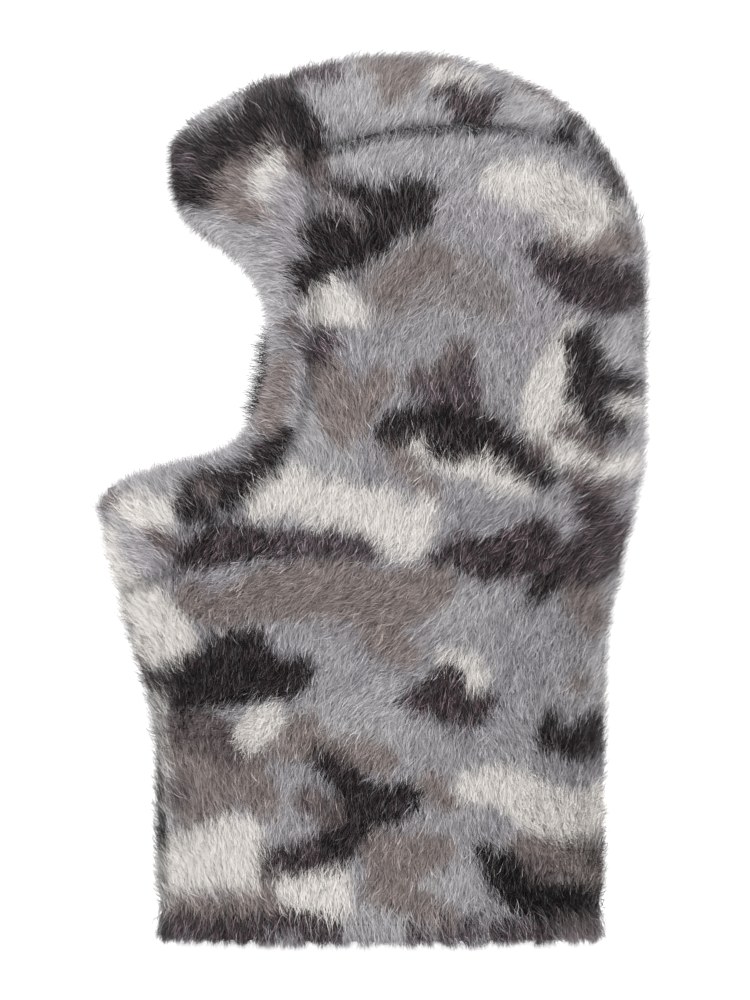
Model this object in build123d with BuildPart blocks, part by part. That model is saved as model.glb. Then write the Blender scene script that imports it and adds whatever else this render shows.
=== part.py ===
from build123d import *
import os
from math import cos, radians, sin

os.makedirs("parts", exist_ok=True)

# A faux-fur balaclava hood, as worn, in millimetres.
# +Z is up, the face opening looks along -Y, +X is the wearer's left.
# The origin is on the floor plane under the middle of the hood, where its hem stands.

# ---- Driving dimensions -------------------------------------------------------------
HEIGHT = 459.0  # hem to crown, over the fur
HEAD_CENTRE_Z = 345.0  # level where the dome of the head begins
HEAD_CENTRE_Y = 20.0  # widest line of the head
HEAD_HALF_WIDTH = 86.0
HEAD_FRONT = 155.0  # widest line of the head forward to the face plane
HEAD_BACK = 121.0  # widest line of the head back to the occiput
NECK_CENTRE_Y = 4.0
NECK_HALF_WIDTH = 79.0
NECK_FRONT = 116.0
NECK_BACK = 116.0
CHIN_REACH = 29.0  # how far the chin stands forward of the neck
CHIN_RETURN = 6.0  # how far the face plane falls back again at the brow

FUR_THICKNESS = 9.0  # laid pile and its knitted backing
LAYER_GAP = 0.4  # between the fur fabric and what lies inside it
LINING_THICKNESS = 1.6
FACING_THICKNESS = 2.4
PANEL_GAP = 1.0  # between two panels along a seam
SEAM_THICKNESS = 0.6  # the sewn edges that stand in that gap
SEAM_DEPTH = 4.0  # how far a seam lies below the tips of the fur

HEM_HEIGHT = 12.0  # turned hem, up to its line of stitching
HEM_FACING_HEIGHT = 22.0
HEM_FACING_LIFT = 2.0  # clear of what the hem stands on
LABEL_WIDTH = 32.0
LABEL_LENGTH = 45.0
LABEL_THICKNESS = 1.0
LABEL_TOP_Z = 150.0
LABEL_CLEARANCE = 5.0  # from the back of the lining, which curves round its edges
REACH = 260.0  # far enough to pass out of the hood on every side

LEVEL_STEP = 30.0  # between the sections of the neck and face
DOME_ANGLES = [0.0, 15.0, 30.0, 45.0, 58.0, 70.0, 79.0, 85.0]

# Edge of the face opening seen from the side, as (y, z), chin to brim.
OPENING_EDGE = [
    (-160.0, 224.0),
    (-138.0, 234.5),
    (-107.0, 243.5),
    (-84.0, 249.0),
    (-66.0, 260.0),
    (-54.0, 281.0),
    (-50.5, 312.0),
    (-58.0, 342.0),
    (-77.0, 363.0),
    (-95.0, 375.0),
    (-102.5, 391.0),
    (-104.0, 412.0),
    (-104.0, 440.0),
]
# Seam behind the face band, from the front neck seam up over the crown.
BAND_SEAM = [
    (-170.0, 170.0),
    (-133.0, 184.0),
    (-100.0, 197.0),
    (-76.0, 222.0),
    (-55.0, 243.0),
    (-41.0, 266.0),
    (-34.0, 290.0),
    (-31.0, 320.0),
    (-31.0, 350.0),
    (-33.0, 380.0),
    (-36.0, 410.0),
    (-42.0, 440.0),
    (-50.0, 480.0),
]
# Seam below the crown panel, from the face band back and down to the nape.
CROWN_SEAM = [
    (-60.0, 397.0),
    (-27.0, 408.0),
    (8.0, 417.0),
    (45.0, 420.5),
    (76.0, 419.0),
    (100.0, 411.0),
    (117.0, 394.0),
    (127.0, 370.0),
    (133.0, 340.0),
    (138.0, 305.0),
    (144.0, 270.0),
    (152.0, 240.0),
]
# Seam between the front neck panel and a side panel, hem to face band.
FRONT_SEAM = [
    (-107.0, -20.0),
    (-106.0, 40.0),
    (-107.0, 90.0),
    (-109.0, 130.0),
    (-107.0, 165.0),
    (-98.0, 200.0),
    (-88.0, 225.0),
]


# ---- Forms that the pieces are cut from ----------------------------------------------
def blend(z, low, high):
    """Smooth rise from 0 at the low level to 1 at the high one."""
    share = min(max((z - low) / (high - low), 0.0), 1.0)
    return share * share * (3.0 - 2.0 * share)


def trunk_level(z, inset):
    """Centre, front, back and half-width of the neck or face at one level."""
    centre = NECK_CENTRE_Y + (HEAD_CENTRE_Y - NECK_CENTRE_Y) * blend(z, 110, 300)
    chin = CHIN_REACH * blend(z, 90, 235) - CHIN_RETURN * blend(z, 250, 345)
    front = centre - (NECK_CENTRE_Y - NECK_FRONT) + chin
    neck_back = NECK_CENTRE_Y + NECK_BACK
    head_back = HEAD_CENTRE_Y + HEAD_BACK
    back = neck_back + (head_back - neck_back) * blend(z, 140, 270) - centre
    half = NECK_HALF_WIDTH + (HEAD_HALF_WIDTH - NECK_HALF_WIDTH) * blend(z, 100, 260)
    return centre, front - inset, back - inset, half - inset


def levels(inset):
    """Level, centre, front, back and half-width of the sections, inset all round."""
    rows = []
    z = -LEVEL_STEP
    while z < HEAD_CENTRE_Z - 1.0:
        rows.append((z, *trunk_level(z, inset)))
        z += LEVEL_STEP
    rise = HEIGHT - HEAD_CENTRE_Z - inset
    for angle in DOME_ANGLES:
        shrink = cos(radians(angle))
        rows.append(
            (
                HEAD_CENTRE_Z + rise * sin(radians(angle)),
                HEAD_CENTRE_Y,
                (HEAD_FRONT - inset) * shrink,
                (HEAD_BACK - inset) * shrink,
                (HEAD_HALF_WIDTH - inset) * shrink,
            )
        )
    return rows


def envelope(inset):
    """Closed solid, everywhere inset from the tips of the fur."""
    with BuildPart() as form:
        for z, y, front, back, half in levels(inset):
            with BuildSketch(Plane.XY.offset(z)):
                with BuildLine():
                    EllipticalCenterArc((0, y), half, back, 0, arc_size=180)
                    EllipticalCenterArc((0, y), half, front, 180, arc_size=180)
                make_face()
        loft()
    return form.part


def prism(points, corners):
    """The space on one side of a seam or edge, right through the hood along X."""
    with BuildPart() as space:
        with BuildSketch(Plane.YZ):
            with BuildLine():
                curve = Spline(*points)
                Polyline(curve @ 1, *corners, curve @ 0)
            make_face()
        extrude(amount=REACH, both=True)
    return space.part


def seam_wall(points, thickness):
    """A wall of even thickness along a seam, right through the hood along X."""
    with BuildPart() as wall:
        with BuildSketch(Plane.YZ):
            with BuildLine():
                Spline(*points)
            trace(line_width=thickness)
        extrude(amount=REACH, both=True)
    return wall.part


def slab(low, high):
    """A box between two corners."""
    size = [b - a for a, b in zip(low, high)]
    middle = [(a + b) / 2 for a, b in zip(low, high)]
    with BuildPart() as block:
        with Locations(tuple(middle)):
            Box(*size)
    return block.part


def cut_piece(name, stock, keep, remove):
    """One sewn piece: the stock where every keep space is, without the remove spaces."""
    with BuildPart() as piece:
        add(stock)
        for space in keep:
            add(space, mode=Mode.INTERSECT)
        for space in remove:
            add(space, mode=Mode.SUBTRACT)
    write(piece.part, name)


def write(part, name):
    """Label a finished piece and write it to its own file."""
    part.label = name
    export_step(part, f"parts/{name}.step")


def layer(depth, thickness):
    """Closed skin of even thickness, its outside inset by depth, open at the hem and face."""
    with BuildPart() as skin:
        add(envelope(depth))
        add(envelope(depth + thickness), mode=Mode.SUBTRACT)
        add(opening, mode=Mode.SUBTRACT)
        add(below_floor, mode=Mode.SUBTRACT)
    return skin.part


# ---- Spaces that divide the layers into pieces ----------------------------------------
FAR = REACH * 2
below_floor = slab((-FAR, -FAR, -FAR), (FAR, FAR, 0.0))
left_half = slab((PANEL_GAP / 2, -FAR, -FAR), (FAR, FAR, FAR))
right_half = slab((-FAR, -FAR, -FAR), (-PANEL_GAP / 2, FAR, FAR))
opening = prism(OPENING_EDGE, [(-REACH, 440), (-REACH, 224)])
band_space = prism(BAND_SEAM, [(-REACH, 480), (-REACH, 170)])
crown_space = prism(CROWN_SEAM, [(REACH, 240), (REACH, FAR), (-60, FAR)])
front_space = prism(FRONT_SEAM, [(-REACH, 225), (-REACH, -20)])
band_gap = seam_wall(BAND_SEAM, PANEL_GAP)
crown_gap = seam_wall(CROWN_SEAM, PANEL_GAP)
front_gap = seam_wall(FRONT_SEAM, PANEL_GAP)
hem_space = slab((-FAR, -FAR, -FAR), (FAR, FAR, HEM_HEIGHT))
hem_and_gap = slab((-FAR, -FAR, -FAR), (FAR, FAR, HEM_HEIGHT + PANEL_GAP))
hem_facing_space = slab((-FAR, -FAR, HEM_FACING_LIFT), (FAR, FAR, HEM_FACING_HEIGHT))
facing_and_gap = slab((-FAR, -FAR, -FAR), (FAR, FAR, HEM_FACING_HEIGHT + PANEL_GAP))

# ---- Fur fabric ------------------------------------------------------------------------
fur = layer(0.0, FUR_THICKNESS)
crown_borders = [crown_space, crown_gap, band_space, band_gap]
side_borders = crown_borders + [front_space, front_gap, hem_and_gap]
cut_piece("side_panel_left", fur, [left_half], side_borders)
cut_piece("side_panel_right", fur, [right_half], side_borders)
cut_piece("crown_panel", fur, [crown_space], [crown_gap, band_space, band_gap])
cut_piece(
    "front_neck_panel", fur, [front_space], [front_gap, band_space, band_gap, hem_and_gap]
)
cut_piece("face_band_left", fur, [band_space, left_half], [band_gap])
cut_piece("face_band_right", fur, [band_space, right_half], [band_gap])
cut_piece("hem_band", fur, [hem_space], [])

# ---- Lining and facings ----------------------------------------------------------------
LINING_DEPTH = FUR_THICKNESS + LAYER_GAP
LINING_FRONT_SEAM = [(y + LINING_DEPTH, z) for y, z in FRONT_SEAM]
lining = layer(LINING_DEPTH, LINING_THICKNESS)
lining_front = prism(LINING_FRONT_SEAM, [(-REACH, 225), (-REACH, -20)])
lining_front_gap = seam_wall(LINING_FRONT_SEAM, PANEL_GAP)
lining_borders = crown_borders + [lining_front, lining_front_gap, facing_and_gap]
cut_piece("lining_left", lining, [left_half], lining_borders)
cut_piece("lining_right", lining, [right_half], lining_borders)
cut_piece("lining_crown", lining, [crown_space], [crown_gap, band_space, band_gap])
lining_front_borders = [lining_front_gap, band_space, band_gap, facing_and_gap]
cut_piece("lining_front_neck", lining, [lining_front], lining_front_borders)
facing = layer(LINING_DEPTH, FACING_THICKNESS)
cut_piece("face_facing", facing, [band_space], [band_gap])
cut_piece("hem_facing", facing, [hem_facing_space], [])

# ---- Seams -----------------------------------------------------------------------------
seam = layer(SEAM_DEPTH, FUR_THICKNESS - SEAM_DEPTH)
crown_seam = seam_wall(CROWN_SEAM, SEAM_THICKNESS)
crown_ends = [band_space, band_gap]
cut_piece("crown_seam_left", seam, [crown_seam, left_half], crown_ends)
cut_piece("crown_seam_right", seam, [crown_seam, right_half], crown_ends)
band_seam = seam_wall(BAND_SEAM, SEAM_THICKNESS)
cut_piece("face_band_seam_left", seam, [band_seam, left_half], [])
cut_piece("face_band_seam_right", seam, [band_seam, right_half], [])
front_seam = seam_wall(FRONT_SEAM, SEAM_THICKNESS)
front_ends = [band_space, band_gap, hem_and_gap]
cut_piece("front_seam_left", seam, [front_seam, left_half], front_ends)
cut_piece("front_seam_right", seam, [front_seam, right_half], front_ends)
half_seam = SEAM_THICKNESS / 2
back_wall = slab((-half_seam, HEAD_CENTRE_Y, 0.0), (half_seam, FAR, HEAD_CENTRE_Z))
cut_piece("back_seam", seam, [back_wall], [crown_space, crown_gap, hem_and_gap])
centre_wall = slab((-half_seam, -FAR, 0.0), (half_seam, FAR, FAR))
cut_piece("face_band_centre_seams", seam, [centre_wall, band_space], [band_gap])
stitch_low = HEM_HEIGHT + (PANEL_GAP - SEAM_THICKNESS) / 2
stitch_ring = slab((-FAR, -FAR, stitch_low), (FAR, FAR, stitch_low + SEAM_THICKNESS))
cut_piece("hem_stitching", seam, [stitch_ring], [])

# ---- Care label, hanging from its sewn top edge at the back of the neck -----------------
inside_depth = LINING_DEPTH + LINING_THICKNESS
label_back = NECK_CENTRE_Y + NECK_BACK - inside_depth - LABEL_CLEARANCE
label_low = (-LABEL_WIDTH / 2, label_back - LABEL_THICKNESS, LABEL_TOP_Z - LABEL_LENGTH)
label_high = (LABEL_WIDTH / 2, label_back, LABEL_TOP_Z)
write(slab(label_low, label_high), "care_label")
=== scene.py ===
"""Looks of a faux-fur balaclava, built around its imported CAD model.

The working functions are in millimetres in the CAD frame, and meshes are written in metres.
"""

import itertools
from math import pi

import bpy
import numpy as np
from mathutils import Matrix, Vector


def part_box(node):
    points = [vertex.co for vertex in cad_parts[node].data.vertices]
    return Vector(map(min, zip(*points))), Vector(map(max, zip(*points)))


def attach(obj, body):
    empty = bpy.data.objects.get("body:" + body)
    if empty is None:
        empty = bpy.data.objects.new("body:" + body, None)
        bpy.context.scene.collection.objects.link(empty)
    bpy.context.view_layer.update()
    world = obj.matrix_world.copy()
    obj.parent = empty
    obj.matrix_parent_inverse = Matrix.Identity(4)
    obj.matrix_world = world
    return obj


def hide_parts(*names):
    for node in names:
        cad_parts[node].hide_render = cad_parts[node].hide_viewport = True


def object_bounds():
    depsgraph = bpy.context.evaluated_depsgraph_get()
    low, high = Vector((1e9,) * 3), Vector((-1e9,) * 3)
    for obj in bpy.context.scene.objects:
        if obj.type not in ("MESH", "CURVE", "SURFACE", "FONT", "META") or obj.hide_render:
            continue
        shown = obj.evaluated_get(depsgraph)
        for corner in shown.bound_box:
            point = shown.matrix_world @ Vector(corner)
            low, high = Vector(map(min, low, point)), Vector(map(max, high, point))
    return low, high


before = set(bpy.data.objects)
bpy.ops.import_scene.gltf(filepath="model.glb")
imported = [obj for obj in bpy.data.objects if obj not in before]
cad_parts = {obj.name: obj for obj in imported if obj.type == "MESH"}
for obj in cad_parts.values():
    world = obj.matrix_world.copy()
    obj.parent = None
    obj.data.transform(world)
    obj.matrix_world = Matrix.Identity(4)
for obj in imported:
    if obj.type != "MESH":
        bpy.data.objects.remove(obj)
cad_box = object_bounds()
MM = 1000.0  # millimetres in a metre


def box_mm(corners):
    """Both corners of a box in millimetres."""
    return [np.array(corner) * MM for corner in corners]


# ---- Sizes, from the frame
_, (HEAD_HALF, HEAD_BACK_Y, TOP) = box_mm(cad_box)
(_, NECK_FRONT_Y, _), (NECK_HALF, NECK_BACK_Y, HEM_TOP) = box_mm(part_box("hem_band"))
DOME_Z = 345.0  # level where the dome of the head begins
HEAD_Y = 20.0  # widest line of the head
NECK_Y = 4.0  # widest line of the neck
CHIN_REACH, CHIN_RETURN = 29.0, 6.0
# Levels between which the form passes from the neck to the head.
CENTRE_LEVELS, WIDTH_LEVELS, BACK_LEVELS = (110, 300), (100, 260), (140, 270)
CHIN_OUT_LEVELS, CHIN_BACK_LEVELS = (90, 235), (250, 345)
RISE = TOP - DOME_Z
POLE = DOME_Z + RISE * pi / 2  # level of the crown's top, measured over the dome

FUR_DEPTH = 9.0  # fur tips to the back of the fabric
SKIN_DEPTH, SKIN_THICKNESS = 6.6, 1.6  # knitted backing that the pile grows from
BACKING_PAINTED_SHADE = 0.75  # painted shade: the backing, deep under the pile, takes this share of the pile's tone
LINING_DEPTH, LINING_THICKNESS = 9.6, 1.2
FACING_THICKNESS = 1.8
EDGE_SETBACK = 5.0  # fabric ends this far short of the fur's edge, which its hair covers
HEM_FOLD_Z = 4.5  # turned edge of the hem
MEAN_RADIUS = 100.0  # mm round the form for each radian, roughly
SEED = 7
PILE_SEED, RIM_SEED = 100, 200  # the pieces' own seeds count up from these

# Sewn lines and the face opening's edge seen from the side, as (y, z).
OPENING_EDGE = [(-165, 196), (-144, 224), (-132, 235.5), (-107, 243.5), (-84, 249), (-66, 260),
                (-54, 281), (-50.5, 312), (-58, 342), (-77, 363), (-95, 375), (-102.5, 391),
                (-104, 412), (-104, 440)]
BAND_SEAM = [(-170, 170), (-133, 184), (-100, 197), (-76, 222), (-55, 243), (-41, 266),
             (-34, 290), (-31, 320), (-31, 350), (-33, 380), (-36, 410), (-42, 440), (-50, 480)]
CROWN_SEAM = [(-60, 397), (-27, 408), (8, 417), (45, 420.5), (76, 419), (100, 411), (117, 394),
              (127, 370), (133, 340), (138, 305), (144, 270), (152, 240)]
FRONT_SEAM = [(-107, -20), (-106, 40), (-107, 90), (-109, 130), (-107, 165), (-98, 200),
              (-88, 225), (-75, 300), (-70, 480)]

# ---- Printed pattern of the left side, as it lies in the side view, with one painted highlight along the front seam
# Each tone is a colour as the fur shows it, on a scale of 255.
TONES = {
    "white": (232, 228, 224),
    "light": (184, 182, 184),
    "grey": (166, 163, 168),
    "lilac": (174, 170, 175),
    "mist": (157, 150, 150),
    "taupe": (146, 135, 132),
    "umber": (114, 103, 103),
    "plum": (86, 76, 81),
    "soot": (64, 54, 58),
    "charcoal": (38, 31, 33),
    "ink": (18, 14, 15),
}
# A tone and its strokes, painted in this order. A stroke is a chain of dabs: y, z, radius.
PRINT = [
    ("lilac", [(-38, 392, 9), (-40, 365, 10), (-42, 335, 9)]),
    ("light", [(-38, 270, 8), (-30, 258, 10), (-14, 250, 7)]),
    ("lilac", [(-95, 186, 9), (-78, 187, 8)],
     [(-118, 203, 10), (-103, 200, 8), (-112, 190, 8)],
     [(42, 377, 9), (75, 366, 10), (84, 335, 10), (80, 310, 8)]),
    ("light", [(-30, 438, 8), (-5, 436, 13), (15, 427, 8), (45, 426, 4)],
     [(70, 428, 9), (88, 428, 8), (75, 440, 5)],
     [(-16, 403, 8), (5, 405, 8), (20, 402, 6)],
     [(-82, 427, 5), (-66, 434, 5), (-54, 441, 3)],
     [(120, 310, 11), (132, 308, 9), (134, 328, 6)],
     [(-82, 366, 6), (-62, 350, 10), (-52, 325, 8)],
     [(-30, 122, 8), (-8, 114, 13), (5, 130, 10), (12, 108, 7)],
     [(-118, 238, 5), (-100, 240, 4)],
     [(114, 128, 7), (119, 142, 6), (121, 157, 5), (104, 124, 5)],
     [(35, 36, 9), (44, 44, 7), (48, 26, 6)],
     [(0, 18, 8), (14, 10, 6)],
     [(40, 170, 8), (56, 178, 8)]),
    ("taupe", [(12, 442, 9), (20, 449, 7), (-5, 453, 4), (40, 453, 3)],
     [(-22, 290, 10), (-14, 266, 9), (-4, 280, 9), (6, 290, 7)]),
    ("mist", [(8, 335, 15), (24, 345, 16), (48, 340, 14), (62, 330, 9)]),
    ("taupe", [(10, 336, 7), (26, 352, 6), (36, 350, 5)],
     [(18, 247, 6), (10, 256, 4), (30, 232, 4)],
     [(96, 363, 6), (106, 356, 7), (126, 362, 8)],
     [(-70, 396, 9), (-64, 410, 8), (-76, 384, 7), (-60, 376, 6)],
     [(-46, 300, 5), (-50, 285, 7), (-54, 268, 6)],
     [(-80, 172, 8), (-50, 182, 13), (-20, 184, 15), (8, 178, 15), (32, 184, 10)],
     [(-92, 178, 9), (-100, 172, 5)],
     [(5, 160, 10), (18, 150, 7)],
     [(-35, 112, 9), (-48, 106, 8), (6, 97, 7)]),
    ("umber", [(-97, 112, 11), (-78, 106, 12), (-90, 90, 12), (-70, 84, 12), (-62, 98, 8)]),
    ("taupe", [(-60, 84, 8), (-54, 76, 8), (-104, 100, 4), (-78, 72, 6), (-95, 68, 5)],
     [(-97, 20, 8), (-75, 19, 8), (-56, 26, 9), (-46, 18, 6)],
     [(2, 52, 9), (22, 50, 10), (36, 52, 6), (5, 34, 9), (24, 22, 8), (36, 16, 6)],
     [(76, 51, 6), (92, 48, 8), (108, 42, 11), (114, 33, 8)],
     [(106, 182, 10), (113, 168, 8)],
     [(104, 136, 5)],
     [(30, 84, 6), (38, 76, 5)],
     [(95, 190, 6)]),
    ("umber", [(-100, 84, 6), (-98, 76, 5)],
     [(-70, 408, 8), (-56, 412, 8), (-42, 400, 5), (-30, 403, 8), (-27, 390, 4)]),
    ("white", [(-58, 385, 3.5), (-55, 395, 4), (-49, 403, 3.5)],
     [(33, 446, 3.5), (52, 444, 4)],
     [(64, 391, 8), (78, 390, 12), (96, 384, 13), (112, 377, 11), (122, 378, 6)],
     [(96, 378, 10), (107, 370, 9)],
     [(-24, 334, 9), (-16, 326, 9), (-8, 324, 6), (-28, 326, 7)],
     [(98, 319, 4), (95, 306, 4), (91, 296, 8), (87, 284, 10), (87, 272, 11), (99, 270, 9)],
     [(86, 262, 7), (98, 256, 8), (110, 252, 8), (120, 248, 6), (131, 247, 6)],
     [(125, 279, 4), (135, 277, 4)],
     [(22, 258, 3), (32, 249, 5), (50, 249, 8), (60, 245, 9), (70, 240, 8), (77, 235, 4)],
     [(-54, 230, 10), (-42, 236, 11), (-28, 229, 12), (-10, 226, 11), (5, 222, 12)],
     [(5, 221, 12), (14, 213, 13), (20, 207, 9), (27, 226, 5)],
     [(-127, 227, 6), (-118, 223, 9), (-108, 222, 8), (-104, 226, 6)],
     [(-120, 182, 9), (-113, 171, 12), (-105, 161, 13), (-98, 154, 8), (-119, 153, 9)],
     [(-137, 212, 6), (-134, 195, 6), (-130, 176, 6)],
     [(36, 150, 3.5), (46, 148, 5), (53, 141, 5.5), (50, 134, 4)],
     [(-62, 107, 6), (-57, 114, 9), (-52, 120, 7)],
     [(-102, 50, 9), (-98, 38, 10), (-84, 46, 15), (-72, 50, 14), (-66, 40, 10), (-60, 55, 6)],
     [(-72, 60, 8), (-64, 60, 7)],
     [(-44, 33, 6), (-36, 27, 10), (-26, 26, 12), (-20, 37, 7), (-16, 18, 6), (-30, 16, 6)],
     [(50, 83, 7), (62, 82, 11), (76, 77, 12), (88, 70, 13), (102, 68, 12), (115, 70, 12)]),
    ("grey", [(60, 69, 4), (65, 62, 4)]),
    ("plum", [(-62, 441, 4), (-47, 446, 6), (-32, 449, 6.5), (-19, 449, 5)]),
    ("charcoal", [(-99, 390, 11), (-90, 388, 10), (-88, 402, 11), (-80, 412, 12), (-66, 419, 11)],
     [(-66, 419, 11), (-58, 425, 12), (-48, 428, 13), (-40, 421, 12), (-31, 414, 8)],
     [(-103, 402, 7), (-98, 412, 7)],
     [(-17, 388, 6), (-4, 381, 8), (10, 380, 10), (23, 384, 9.5), (22, 374, 8)],
     [(-31, 366, 7), (-16, 368, 9), (0, 371, 12), (12, 374, 10)],
     [(2, 364, 9), (-12, 356, 11), (-26, 350, 9), (-36, 345, 7), (-36, 338, 4)]),
    ("mist", [(-23, 381, 2.5), (-13, 377, 2.5), (-6, 371, 1.5)]),
    ("plum", [(-100, 405, 4), (-93, 400, 4)]),
    ("soot", [(34, 437, 4), (43, 436, 6.5), (50, 430, 8), (56, 425, 6), (60, 431, 5),
              (65, 436, 3)]),
    ("umber", [(78, 444, 3), (88, 440, 3.5), (96, 434, 3)]),
    ("charcoal", [(94, 418, 3), (98, 413, 5), (101, 421, 4), (107, 429, 4)],
     [(113, 417, 4), (120, 405, 5), (126, 391, 4)]),
    ("soot", [(82, 358, 4), (91, 348, 8), (104, 341, 13), (119, 338, 15), (132, 338, 11)]),
    ("umber", [(-41, 318, 5)]),
    ("plum", [(-28, 306, 8.5), (-23, 311, 6)]),
    ("charcoal", [(-46, 262, 4), (-54, 253, 8), (-60, 246, 5), (-69, 238, 8), (-76, 229, 5)],
     [(-72, 240, 6), (-84, 241, 4), (-93, 234, 6), (-91, 226, 9), (-84, 222, 5)]),
    ("umber", [(-84, 234, 5)],
     [(-138, 228, 3.5), (-135, 233, 3)],
     [(-111, 212, 4), (-104, 207, 5)]),
    ("soot", [(-97, 198, 5), (-86, 204, 9), (-72, 208, 10.5), (-56, 208, 8), (-40, 206, 6.5)]),
    ("plum", [(-40, 206, 6.5), (-22, 207, 6.5), (-8, 205, 6), (-1, 202, 4)]),
    ("umber", [(24, 290, 7), (33, 284, 7), (44, 306, 5)],
     [(44, 304, 7), (43, 290, 10), (44, 276, 12)]),
    ("plum", [(47, 296, 4), (46, 284, 8), (42, 274, 9), (26, 286, 4)]),
    ("charcoal", [(5, 262, 4), (14, 267, 8), (28, 268, 8), (40, 267, 10), (56, 264, 9)],
     [(36, 258, 8), (47, 258, 8)],
     [(56, 264, 9), (66, 258, 8.5), (76, 250, 8), (84, 243, 6.5), (90, 241, 5)]),
    ("umber", [(86, 254, 5)],
     [(94, 267, 3), (103, 264, 3.5), (112, 259, 4), (119, 254, 4)]),
    ("charcoal", [(99, 313, 4), (103, 306, 6), (111, 314, 5), (109, 300, 9.5), (109, 286, 9.5)],
     [(109, 288, 9), (113, 277, 8), (118, 269, 7), (127, 268, 5)],
     [(118, 293, 6), (129, 289, 6), (136, 286, 4)]),
    ("umber", [(104, 242, 5), (108, 234, 7), (122, 234, 5)]),
    ("soot", [(107, 234, 5), (113, 222, 10), (122, 213, 12), (114, 202, 14), (125, 203, 8)],
     [(32, 199, 4), (46, 203, 9), (60, 198, 10), (72, 202, 13), (82, 207, 13)],
     [(82, 206, 13), (88, 198, 11), (100, 197, 10), (110, 199, 13)]),
    ("charcoal", [(88, 188, 6), (81, 180, 4)]),
    ("soot", [(18, 129, 4), (28, 127, 7.5), (38, 137, 8.5), (40, 124, 9.5), (50, 121, 7.5),
              (57, 126, 5)]),
    ("charcoal", [(90, 118, 4), (89, 107, 6.5), (101, 104, 8), (110, 106, 11), (115, 113, 7)]),
    ("umber", [(-122, 147, 4), (-120, 135, 5)]),
    ("charcoal", [(-113, 134, 6), (-99, 137, 9), (-85, 143, 12), (-70, 149, 14), (-60, 156, 8)],
     [(-98, 128, 7), (-85, 134, 11), (-70, 138, 13), (-55, 142, 13), (-43, 138, 10),
      (-36, 142, 7)]),
    # Painted highlight: a pale line along the front seam's fold, where its ridge catches the light.
    ("white", [(-106, 22, 1.5), (-106, 75, 1.5), (-108, 105, 2), (-110, 130, 1.5)]),
    ("umber", [(-112, 88, 4), (-111, 78, 4)]),
    ("charcoal", [(-111, 66, 4), (-110, 55, 4.5)]),
    ("soot", [(-53, 41, 5), (-50, 46, 6), (-38, 46, 8), (-26, 50, 9), (-17, 52, 9)]),
    ("charcoal", [(-17, 54, 10), (-14, 62, 12), (-6, 72, 12), (6, 75, 11), (15, 76, 9)],
     [(-6, 78, 10), (-13, 87, 8), (-21, 93, 7), (-28, 99, 5)]),
    ("umber", [(-33, 77, 5), (-28, 70, 4)],
     [(-32, 76, 6), (-22, 70, 7)]),
    ("ink", [(55, 51, 4), (60, 45, 6), (67, 39, 10), (76, 31, 12), (86, 25, 13), (96, 21, 12)],
     [(96, 21, 12), (107, 20, 10), (117, 20, 9)]),
    ("umber", [(82, 43, 5), (90, 38, 5)]),
    ("soot", [(-112, 12, 4), (-108, 8, 6), (-60, 8, 6.5), (-44, 13, 6), (-20, 6, 5)],
     [(22, 6, 4), (26, 5, 4)]),
    ("plum", [(38, 6, 5), (52, 7, 4)]),
    ("soot", [(62, 7, 4.5), (74, 7, 5.5), (90, 5, 4.5)]),
    ("umber", [(102, 8, 5), (114, 6, 5)]),
]
FEATHER = 3.2  # width over which two tones of the print run into each other
BLEED = 0.8  # how far each stroke spreads beyond its dabs
WARP, WARP_SIZE = 1.6, 9.0  # how far and how finely the strokes' outlines wander
CLOUD, CLOUD_SIZE = 0.45, 24.0  # strength and size of the paler clouds in the grey
# The sides that aren't seen: tone, size of its patches, noise above which it shows, seed.
LAYERS = [("light", 40.0, 0.05, 21), ("lilac", 34.0, 0.22, 22), ("taupe", 36.0, 0.14, 23),
          ("umber", 30.0, 0.42, 24), ("white", 33.0, 0.22, 25), ("charcoal", 31.0, 0.20, 26)]
LAYER_WARP, LAYER_WARP_SIZE = 12.0, 30.0  # how far and how finely they wander

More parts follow.
